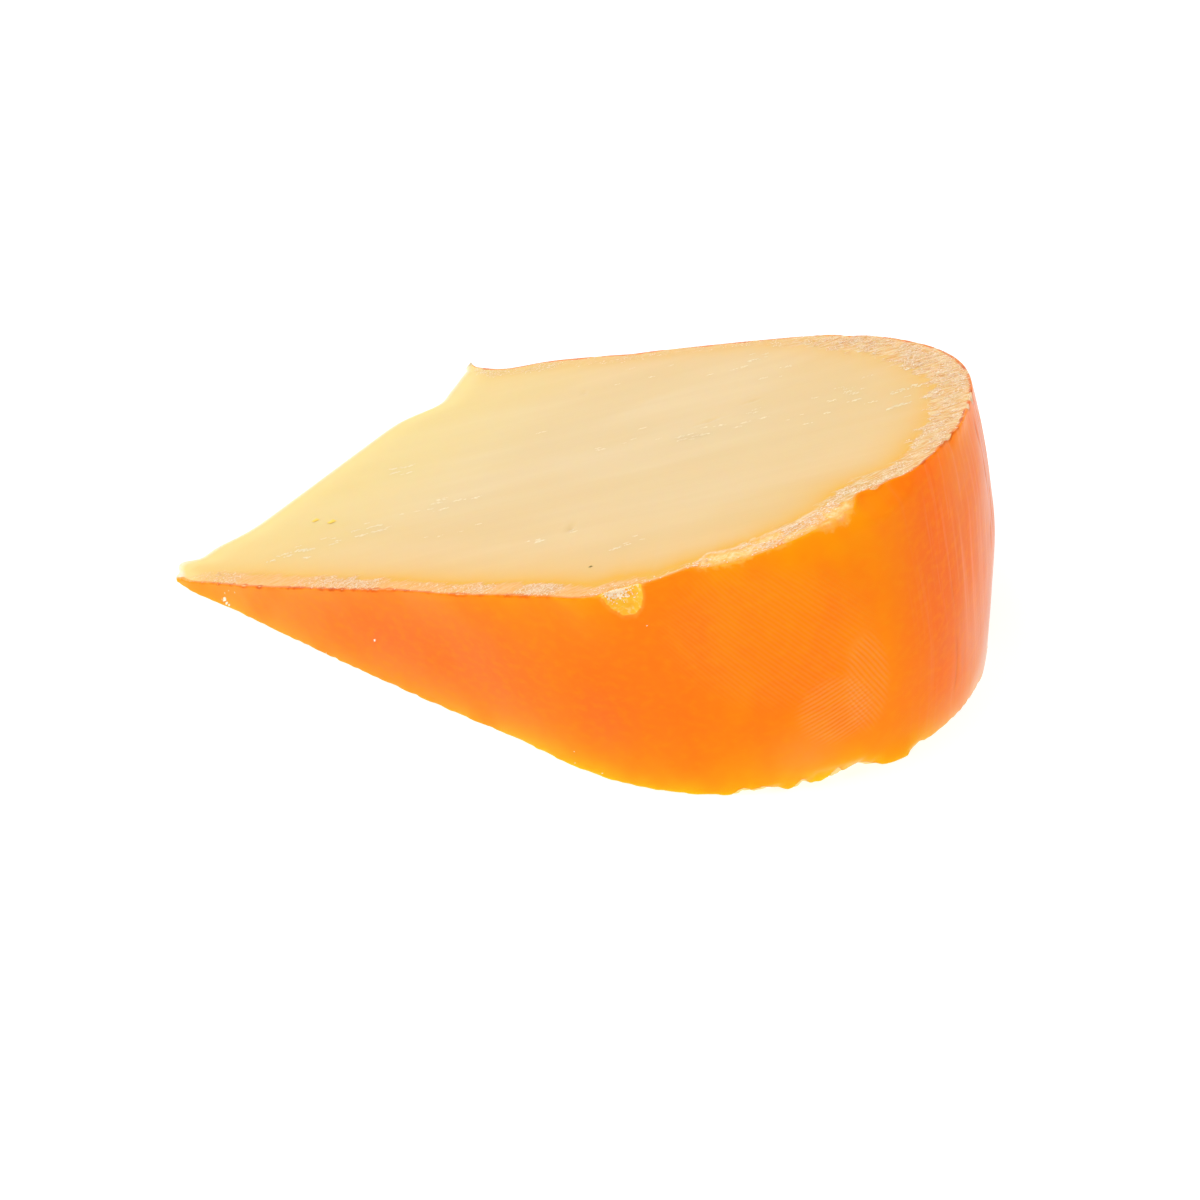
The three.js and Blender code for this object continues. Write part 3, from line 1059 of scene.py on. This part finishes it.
def make_fibres():
    """The torn band's fibres and grains, densest where it is torn most."""
    draw = np.random.default_rng(FIBRE_SEED)
    station = draw.uniform(0, THIN_START, FIBRE_TRIES)
    inset = 0.4 + along(BAND_WIDTHS, station) * 1.25 * draw.uniform(0, 1, FIBRE_TRIES) ** 0.85
    u, v, out_u, out_v, coated = outline(station)
    full = wedge_height(u)
    shift = frame_shift(station, full, full, coated)
    shift += edge_shift(UPPER_DETAILS, station, 0 * station)
    u = u + out_u * (shift - inset)
    v = v + out_v * (shift - inset)
    patch = 0.5 + 0.9 * noise(station / 7, 0, 141)
    patch = np.where(station > 120, 0.5 + 0.9 * noise(station / 4, inset / 2, 142), patch)
    patch = patch + bell(station - CHIP_STATION, 4.5)
    keep = draw.uniform(0, 1, FIBRE_TRIES) < band_strength(u, v, inset, station) * patch
    station, inset, u, v = station[keep], inset[keep], u[keep], v[keep]
    count = station.size
    rim = smooth(station, 140, 175) * (1 - smooth(station, 235, 255))
    centre = upper_cut(u, v, inset, station)[0]
    is_fibre = draw.uniform(0, 1, count) < FIBRE_SHARE
    stray = draw.normal(0, 1, count) * np.where(is_fibre, FIBRE_STRAY, DRY_GRAIN_STRAY)
    degrees = along(TEAR_ANGLES, station) + stray
    axes = cut_axes(degrees, draw.normal(0.05, 0.12, count))
    fibre = draw.uniform(*FIBRE_LENGTHS, count) * (1 + 0.9 * rim)
    grain_size = draw.uniform(*DRY_GRAIN_SIZES, count)
    length = np.where(is_fibre, fibre, grain_size)
    width = np.where(is_fibre, draw.uniform(*FIBRE_WIDTHS, count), grain_size * 0.8)
    thickness = width * draw.uniform(0.25, 0.55, count)
    lean = draw.uniform(-0.25, 0.25, count)
    shade = draw.uniform(0, 1, count) ** np.where(is_fibre, 1.5, 0.7)
    shade = shade * (0.5 + 0.5 * smooth(station, 92, 102))
    return slivers("torn_fibres", centre, axes, (length, width, thickness), lean, shade)


def make_flecks():
    """Flecks that the knife smeared onto the upper cut, each of a few crumbs, in loose groups."""
    draw = np.random.default_rng(FLECK_SEED)
    angle = math.radians(KNIFE_ANGLE)
    lengthwise, crosswise = FLECK_SPREAD
    rows = []
    for at_u, at_v, spread, flecks, length in FLECK_GROUPS:
        for _ in range(flecks):
            long = length * draw.uniform(0.45, 1.1)
            a = draw.normal(0, spread) + draw.normal(0, lengthwise * long, FLECK_CRUMBS)
            b = draw.normal(0, spread * 0.45) + draw.normal(0, crosswise * long, FLECK_CRUMBS)
            place_u = at_u + a * math.cos(angle) - b * math.sin(angle)
            place_v = at_v + a * math.sin(angle) + b * math.cos(angle)
            size = long * draw.uniform(*FLECK_CRUMB_SHARES, FLECK_CRUMBS)
            rows.append(np.stack([place_u, place_v, size], -1))
    u, v, length = np.concatenate(rows).T
    count = u.size
    centre = upper_cut(u, v, inset_of(u, v), np.zeros(count))[0]
    axes = cut_axes(KNIFE_ANGLE + draw.normal(0, FLECK_STRAY, count))
    width = length * draw.uniform(0.3, 0.6, count)
    thickness = np.full(count, FLECK_THICKNESS)
    lean = draw.uniform(-0.3, 0.3, count)
    shade = draw.uniform(0, 1, count)
    return slivers("knife_flecks", centre, axes, (length, width, thickness), lean, shade)


def make_specks():
    """Pale specks stuck to the coat, and crumbs in the chip and in the upper edge's nicks."""
    draw = np.random.default_rng(SPECK_SEED)
    chip_crumbs = (
        draw.normal(CHIP_STATION, 1.3, CHIP_CRUMBS),
        0.2 + np.abs(draw.normal(0, 0.9, CHIP_CRUMBS)),
        draw.uniform(*CHIP_CRUMB_LENGTHS, CHIP_CRUMBS),
    )
    nick_crumbs = (
        draw.uniform(*NICK_CRUMB_STATIONS, NICK_CRUMBS),
        draw.uniform(0.1, 1.6, NICK_CRUMBS),
        draw.uniform(*NICK_CRUMB_LENGTHS, NICK_CRUMBS),
    )
    crumbs = np.concatenate([chip_crumbs, nick_crumbs], axis=1)
    crumbs[1] = wedge_height(outline(crumbs[0])[0]) - crumbs[1]
    station, height, length = np.concatenate([np.array(SPECKS).T, crumbs], axis=1)
    down = wedge_height(outline(station)[0]) - height
    is_speck = np.arange(station.size) < len(SPECKS)
    in_chip = chip_distance(station, down) > 0.3
    in_nick = (station > TORN_STATIONS[0]) & (upper_gap(station, down) < -0.25)
    keep = is_speck | in_chip | in_nick
    station, height, length = station[keep], height[keep], length[keep]
    count = station.size
    centre = side(station, height)[0]
    axes = side_axes(station, draw.normal(60, 25, count))
    width = length * draw.uniform(0.35, 0.6, count)
    lean = draw.uniform(-0.3, 0.3, count)
    shade = draw.uniform(0.3, 1, count)
    return slivers("coat_specks", centre, axes, (length, width, width * 0.5), lean, shade)


def make_grains():
    """The two yellow grains and the dark one on the upper cut."""
    u, v, length, shade = np.array(GRAINS).T
    centre = upper_cut(u, v, inset_of(u, v), np.zeros(u.size))[0]
    axes = cut_axes(np.full(u.size, KNIFE_ANGLE))
    size = (length, length * 0.9, length * 0.35)
    return slivers("cut_grains", centre, axes, size, 0 * u, shade)


# ---- colours
def linear(red, green, blue):
    """A colour on the screen as a shader's colour."""
    return (*screen_to_linear((red, green, blue)), 1.0)


# The cut paste, paler and yellower towards the thin edge and warmer by the coat, where a glow of
# the coat's colour scattered into the cheese is painted.
PASTE = linear(220, 193, 146)
PASTE_LIGHT = linear(224, 199, 153)
PASTE_DULL = linear(217, 187, 132)
# Painted glow of the coat's colour in the cheese.
PAINTED_COAT_GLOW = linear(229, 170, 58)
PASTE_PALE = linear(229, 204, 126)
# Painted glow of light through the thin edge, and its whiter lip.
THIN_GLOW = linear(233, 210, 136)
THIN_WHITE = linear(243, 232, 215)
# Cheese that shows where the coat is gone.
CHIP_COLOUR = linear(252, 190, 56)
CREAM = linear(250, 222, 150)
# The torn band, the worn bevel and its crest, which is painted pale as a highlight.
# Paler on the torn band's ridges and deeper in its hollows: the torn cheese's own colour with
# painted highlight and painted shade.
BAND_PALE = linear(234, 204, 156)
BAND_DEEP = linear(218, 158, 88)
BAND_NEAR = linear(240, 172, 98)
CREST_HIGHLIGHT = linear(243, 206, 172)
BEVEL_COLOUR = linear(244, 186, 96)
BEVEL_PALE = linear(244, 214, 158)
BEVEL_DEEP = linear(250, 160, 40)
# What lies over the coat's own dye, painted reflection and painted shade among it.
COAT_RED = linear(252, 112, 20)
COAT_YELLOW = linear(253, 150, 10)
COAT_LINE = linear(196, 76, 4)
# Painted reflection: pale upright streaks on the rim.
STREAK_REFLECTION = linear(250, 158, 116)
STREAK_RED = linear(236, 84, 26)
# Painted shade in the coat's creases.
CREASE_SHADE_COLOUR = linear(186, 56, 16)
CLOTH_PALE = linear(255, 160, 84)
# Small pieces.
FIBRE_PALE = linear(255, 244, 226)
FIBRE_DEEP = linear(243, 199, 137)
FLECK_PALE = linear(243, 226, 190)
YELLOW_GRAIN = linear(248, 207, 90)
DARK_GRAIN = linear(38, 24, 10)
WHITE = (1.0, 1.0, 1.0, 1.0)

# Shader settings of the whole wedge, and those by which cut and coat differ.
SCATTERING = {
    "Subsurface Weight": 0.6,
    "Subsurface Radius": (1.0, 0.55, 0.25),
    "Subsurface Scale": 3.0 * MM,
    "IOR": 1.45,
}
CUT_GLOSS = {"Specular IOR Level": 0.12, "Sheen Weight": 0.08, "Sheen Roughness": 0.4}
COAT_GLOSS = {"Specular IOR Level": 0.05, "Sheen Weight": 0.6, "Sheen Roughness": 0.22}
CLOTH_WAVES = {"Scale": 1.0, "Distortion": 1.2, "Detail": 1.0, "Detail Scale": 0.4}

# The surface's patterns of noise: direction, length, width, detail, roughness and distortion.
PATTERNS = {
    "streaks": (KNIFE_ANGLE, 55, 5.5, 3.0),
    "clouds": (KNIFE_ANGLE, 40, 18, 1.0),
    "knife": (KNIFE_ANGLE, 14, 0.5, 3.0),
    "crumbs": (0, 0.8, 0.8, 3.0, 0.6),
    "steep_tears": (54, 2.2, 0.4, 3.0, 0.6, 0.6),
    "level_tears": (27, 2.2, 0.4, 3.0, 0.6, 0.6),
    "mottle": (90, 16, 11, 2.0),
    "fine": (20, 2.0, 1.4, 3.0),
    "upright": (90, 38, 1.1, 3.0, 0.6),
    "peel": (0, 0.8, 0.8, 2.0),
}
# How strongly painted shade darkens the coat's creases, and how strongly the cloth's imprint tints
# the coat.
CREASE_SHADE = 0.16
CLOTH_TINT = 3.5


# ---- nodes
def set_inputs(tree, made, inputs):
    """Gives a node's inputs their values; a value may be another node's output."""
    for key, value in inputs.items():
        if isinstance(value, bpy.types.NodeSocket):
            tree.links.new(value, made.inputs[key])
        else:
            made.inputs[key].default_value = value


def node(tree, kind, inputs, out=0, **settings):
    """Adds a shader node and returns one of its outputs."""
    made = tree.nodes.new("ShaderNode" + kind)
    for key, value in settings.items():
        setattr(made, key, value)
    set_inputs(tree, made, inputs)
    return made.outputs[out]


def mix(tree, factor, first, second):
    """A colour between two others."""
    return node(tree, "Mix", {0: factor, 6: first, 7: second}, 2, data_type="RGBA")


def between(tree, factor, first, second):
    """A number between two others."""
    return node(tree, "Mix", {0: factor, 2: first, 3: second})


def maths(tree, operation, first, second):
    return node(tree, "Math", {0: first, 1: second}, operation=operation)


def times(tree, first, second):
    return maths(tree, "MULTIPLY", first, second)


def plus(tree, first, second):
    return maths(tree, "ADD", first, second)


def vectors(tree, operation, first, second):
    return node(tree, "VectorMath", {0: first, 1: second}, operation=operation)


def ramp(tree, value, low, high, start=0.0, end=1.0):
    """Smooth step of a value from start to end."""
    inputs = {"Value": value, "From Min": low, "From Max": high, "To Min": start, "To Max": end}
    return node(tree, "MapRange", inputs, interpolation_type="SMOOTHSTEP")


def layered(tree, base, *layers):
    """Lays colours over a base, each where its value rises from low to high, up to a share."""
    for value, low, high, share, colour in layers:
        base = mix(tree, ramp(tree, value, low, high, 0.0, share), base, colour)
    return base


def attribute(tree, name, out="Fac"):
    return node(tree, "Attribute", {}, out, attribute_name=name)


def stretched(tree, place, degrees, length, width):
    """The place divided by a length along a direction and a width across it."""
    inputs = {"Vector": place, "Angle": -math.radians(degrees)}
    turn = node(tree, "VectorRotate", inputs, rotation_type="Z_AXIS")
    return vectors(tree, "MULTIPLY", turn, (1 / length, 1 / width, 1.0))


def grain(tree, vector, detail=2.0, roughness=0.5, distortion=0.0):
    """Noise from 0 to 1 with a wavelength of about one unit of the vector."""
    inputs = {"Vector": vector, "Scale": 1.0, "Detail": detail, "Roughness": roughness}
    return node(tree, "TexNoise", inputs | {"Distortion": distortion})


def surface_values(tree):
    """What the cheese's colours and relief are made of: the points' values and the patterns."""
    place = attribute(tree, "place", "Vector")
    first = node(tree, "SeparateXYZ", {0: place})
    values = {name: attribute(tree, name) for name in POINT_VALUES}
    for name, (degrees, length, width, *fineness) in PATTERNS.items():
        values[name] = grain(tree, stretched(tree, place, degrees, length, width), *fineness)
    second = first.node.outputs[1]
    return SimpleNamespace(place=place, u_or_station=first, v_or_height=second, **values)


def cheese_colour(tree, on):
    """Colour of the cheese, the torn band's tears, and how much it counts as torn."""
    paste = layered(
        tree,
        PASTE,
        (on.streaks, 0.35, 0.68, 0.7, PASTE_LIGHT),
        (on.clouds, 0.4, 0.62, 0.5, PASTE_DULL),
        (on.u_or_station, 62, 0, 0.75, PASTE_PALE),
    )
    # Painted glow of the coat's colour scattered into the cheese.
    paste = mix(tree, on.warm, paste, PAINTED_COAT_GLOW)
    # Painted yellow glow where the cheese is thin, whiter at its lip.
    dry_and_glow = (on.thin, 0.1, 0.6, 0.8, THIN_GLOW), (on.thin, 0.7, 1.0, 0.7, THIN_WHITE)
    paste = layered(tree, paste, *dry_and_glow)
    bare = mix(tree, on.warm, CREAM, CHIP_COLOUR)
    bare = layered(tree, bare, (on.crumbs, 0.5, 0.68, 0.6, CREAM))
    paste = mix(tree, on.is_cut, bare, paste)

    far_side = ramp(tree, on.v_or_height, -20, 25)
    tearing = between(tree, far_side, on.steep_tears, on.level_tears)
    # The tears' colour follows their bump: painted highlight on the ridges and painted shade in the
    # hollows, over the torn cheese's own colour.
    torn = layered(
        tree,
        BAND_DEEP,
        (tearing, 0.38, 0.62, 1.0, BAND_PALE),
        (on.v_or_height, -32, -42, 0.6, BAND_NEAR),
    )
    fringe = plus(tree, on.band, ramp(tree, tearing, 0.3, 0.7, -0.3, 0.3))
    torn_share = ramp(tree, fringe, 0.25, 0.9)
    paste = mix(tree, torn_share, paste, torn)
    rubbed = layered(
        tree,
        BEVEL_COLOUR,
        (on.crumbs, 0.34, 0.7, 1.0, BEVEL_PALE),
        (on.coat, -1.6, 0.1, 0.8, BEVEL_DEEP),
    )
    paste = mix(tree, on.worn, paste, rubbed)
    # Painted highlight along the crest.
    crest_highlight = times(tree, on.crest, ramp(tree, on.crumbs, 0.3, 0.6, 0.3, 1.0))
    return mix(tree, crest_highlight, paste, CREST_HIGHLIGHT), tearing, torn_share


def coat_colour(tree, on, rim_share, cloth):
    """Colour of the coat: its dye with painted light, mottles, streaks of painted reflection among
    darker ones, creases darkened with painted shade, imprint and dark edge.
    """
    orange = layered(
        tree,
        attribute(tree, "dye", "Vector"),
        (on.mottle, 0.4, 0.66, 0.35, COAT_RED),
        (on.fine, 0.4, 0.8, 0.3, COAT_YELLOW),
    )
    # The pale streaks are painted reflection; the red ones are darker streaks.
    streaks = (0.5, 0.72, 0.45, STREAK_REFLECTION), (0.46, 0.28, 0.25, STREAK_RED)
    for low, high, share, colour in streaks:
        streak = times(tree, rim_share, ramp(tree, on.upright, low, high, 0.0, share))
        orange = mix(tree, streak, orange, colour)
    # Painted shade darkens the creases.
    orange = mix(tree, times(tree, on.crease, CREASE_SHADE), orange, CREASE_SHADE_COLOUR)
    orange = mix(tree, times(tree, cloth, CLOTH_TINT), orange, CLOTH_PALE)
    return mix(tree, on.line, orange, COAT_LINE)


def cloth_imprint(tree, place):
    """Fine parallel ridges that the pressing cloth left on the coat, in a few patches."""
    # A wave texture repeats every 2 pi / 20 of a unit.
    unit = CLOTH_PITCH * 20 / (2 * math.pi)
    total = 0.0
    for station, height, wide, tall, degrees, depth in CLOTH_PATCHES:
        moved = vectors(tree, "ADD", place, (-station, -height, 0.0))
        shrunk = vectors(tree, "MULTIPLY", moved, (1 / wide, 1 / tall, 1.0))
        away = node(tree, "VectorMath", {0: shrunk}, "Value", operation="LENGTH")
        waves = {"Vector": stretched(tree, place, degrees, unit, unit)} | CLOTH_WAVES
        lines = node(tree, "TexWave", waves, "Fac", bands_direction="Y")
        ridge = times(tree, lines, ramp(tree, away, 1.0, 0.6, 0.0, depth))
        total = plus(tree, ridge, total)
    return total


def new_material(name):
    """A new material with its node tree and its shader."""
    material = bpy.data.materials.new(name)
    material.use_nodes = True
    return material, material.node_tree, material.node_tree.nodes["Principled BSDF"]


def cheese_material(name, gloss):
    """One material for cheese and coat, whose constants suit the one or the other."""
    material, tree, shader = new_material(name)
    on = surface_values(tree)
    cloth = cloth_imprint(tree, on.place)
    from_rim_start = ramp(tree, on.u_or_station, 148, 176)
    rim_share = times(tree, from_rim_start, ramp(tree, on.u_or_station, 246, 200, 0.1, 1.0))
    cheese, tearing, torn_share = cheese_colour(tree, on)

    # The coat ends sharply, but fades out where it is worn and a little around the chip.
    fuzz = times(tree, on.worn, ramp(tree, on.crumbs, 0.3, 0.7, -0.5, 0.5))
    ending = plus(tree, on.coat, fuzz)
    rubbing = maths(tree, "MAXIMUM", on.worn, times(tree, on.warm, 0.4))
    sharp = ramp(tree, ending, -0.08, 0.08)
    faded = ramp(tree, ending, -0.5, 0.9)
    has_coat = between(tree, rubbing, sharp, faded)
    coat = coat_colour(tree, on, rim_share, cloth)

    # Relief too fine for the mesh: knife marks, fibres, the coat's skin and the cloth's imprint.
    marks = times(tree, on.knife, ramp(tree, on.clouds, 0.45, 0.6, 0.01, 0.05))
    broken = times(tree, on.crumbs, ramp(tree, on.thin, 0.75, 1.0, 0.0, 0.25))
    fibres = times(tree, tearing, times(tree, torn_share, 0.2))
    fibres = times(tree, fibres, maths(tree, "SUBTRACT", 1.0, has_coat))
    skin = plus(tree, times(tree, on.peel, 0.04), cloth)
    skin = plus(tree, skin, times(tree, rim_share, times(tree, on.upright, 0.08)))
    relief = plus(tree, plus(tree, marks, broken), fibres)
    relief = plus(tree, relief, times(tree, skin, has_coat))
    bump = {"Height": relief, "Strength": 0.6, "Distance": 1.0 * MM}

    rough_cheese = ramp(tree, torn_share, 0, 1, 0.42, 0.7)
    rough_coat = ramp(tree, on.mottle, 0.3, 0.7, 0.34, 0.42)
    looks = {
        "Base Color": mix(tree, has_coat, cheese, coat),
        "Roughness": between(tree, has_coat, rough_cheese, rough_coat),
        "Normal": node(tree, "Bump", bump),
    }
    set_inputs(tree, shader, looks | SCATTERING | gloss)
    return material


def crumb_material(name, pale, deep):
    """Dry cheese: slivers and flecks, each with its own shade between two colours."""
    material, tree, shader = new_material(name)
    dust = grain(tree, node(tree, "TexCoord", {}, "Object"))
    colour = mix(tree, attribute(tree, "shade"), deep, pale)
    colour = layered(tree, colour, (dust, 0.3, 0.7, 0.4, pale))
    set_inputs(tree, shader, {"Base Color": colour, "Roughness": 0.6, "Specular IOR Level": 0.15})
    return material


# ---- studio
CAMERA_AZIMUTH = math.radians(32.594)
CAMERA_ELEVATION = math.radians(37.090)
CAMERA_ROLL = math.radians(-0.286)
CAMERA_PLACE = (157.14, -250.40, 217.30)
LENS = 57.94
SENSOR_WIDTH = 36.0
NEAREST_SEEN = 0.01
FURTHEST_SEEN = 50.0
# Brightness of the surroundings as light on the wedge; seen or mirrored, they are white.
WORLD_LIGHT = 0.83
# Round lights: name, place, size and power.
LIGHTS = (
    ("key", (-0.75, -0.38, 1.1), 1.3, 9.0),
    ("fill", (0.95, -1.0, 0.6), 1.2, 1.3),
)
FLOOR_SIZE = 6.0
FLOOR_LOOKS = {
    "Base Color": (0.5, 0.5, 0.5, 1.0),
    "Roughness": 0.9,
    "Specular IOR Level": 0.1,
    "Emission Color": WHITE,
    "Emission Strength": 0.67,
}


def make_camera():
    """The camera that was fitted to the photo's outline, with the view through its lens."""
    data = bpy.data.cameras.new("camera")
    data.sensor_width = SENSOR_WIDTH
    data.lens = LENS
    data.clip_start = NEAREST_SEEN
    data.clip_end = FURTHEST_SEEN
    camera = placed("camera", data)
    right = Vector((math.cos(CAMERA_AZIMUTH), math.sin(CAMERA_AZIMUTH), 0.0))
    ahead = Vector((-math.sin(CAMERA_AZIMUTH), math.cos(CAMERA_AZIMUTH), 0.0))
    down = Vector((0.0, 0.0, -math.sin(CAMERA_ELEVATION)))
    forward = ahead * math.cos(CAMERA_ELEVATION) + down
    up = right.cross(forward)
    right = right * math.cos(CAMERA_ROLL) + up * math.sin(CAMERA_ROLL)
    up = right.cross(forward)
    turn = Matrix((right, up, -forward)).transposed()
    camera.matrix_world = Matrix.Translation(Vector(CAMERA_PLACE) * MM) @ turn.to_4x4()
    bpy.context.scene.camera = camera


def make_floor():
    """A plain pale floor that is nearly white in the light."""
    half = FLOOR_SIZE / 2
    corners = [(-half, -half, 0), (half, -half, 0), (half, half, 0), (-half, half, 0)]
    mesh = bpy.data.meshes.new("floor")
    mesh.from_pydata(corners, [], [(0, 1, 2, 3)])
    floor = placed("floor", mesh)
    material, tree, shader = new_material("floor")
    set_inputs(tree, shader, FLOOR_LOOKS)
    mesh.materials.append(material)


def make_lights():
    """White surroundings, a soft key light from the left and a weak fill from the right."""
    world = bpy.data.worlds.new("studio")
    world.use_nodes = True
    tree = world.node_tree
    seen = node(tree, "LightPath", {})
    direct = maths(tree, "MAXIMUM", seen, seen.node.outputs["Is Glossy Ray"])
    strength = ramp(tree, direct, 0, 1, WORLD_LIGHT, 1.0)
    set_inputs(tree, tree.nodes["Background"], {"Color": WHITE, "Strength": strength})
    bpy.context.scene.world = world
    for name, place, size, power in LIGHTS:
        data = bpy.data.lights.new(name, "AREA")
        data.shape = "DISK"
        data.size = size
        data.energy = power
        light = placed(name, data)
        light.location = place
        light.rotation_euler = (-Vector(place)).to_track_quat("-Z", "Y").to_euler()
    bpy.context.scene.view_settings.view_transform = "Standard"


# ---- the whole
# The wheel frame's origin in the row frame, from where the frame's wedge ends in x and y.
columns = stations_of_columns()
plain_reach = side(columns, 0 * columns, fine=False)[0].max(0)
node_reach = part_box(NODE)[1]
ORIGIN = np.array([*(node_reach[i] / MM - plain_reach[i] for i in range(2)), 0.0])

body = make_body()
pieces = [body]
for make, name, pale, deep in (
    (make_fibres, "fibres", FIBRE_PALE, FIBRE_DEEP),
    (make_flecks, "flecks", FLECK_PALE, PASTE_LIGHT),
    (make_specks, "specks", FIBRE_PALE, CREAM),
    (make_grains, "grains", YELLOW_GRAIN, DARK_GRAIN),
):
    pieces.append(make())
    pieces[-1].data.materials.append(crumb_material(name, pale, deep))
for piece in pieces:
    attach(piece, BODY)
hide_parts(NODE)

make_floor()
make_lights()
make_camera()
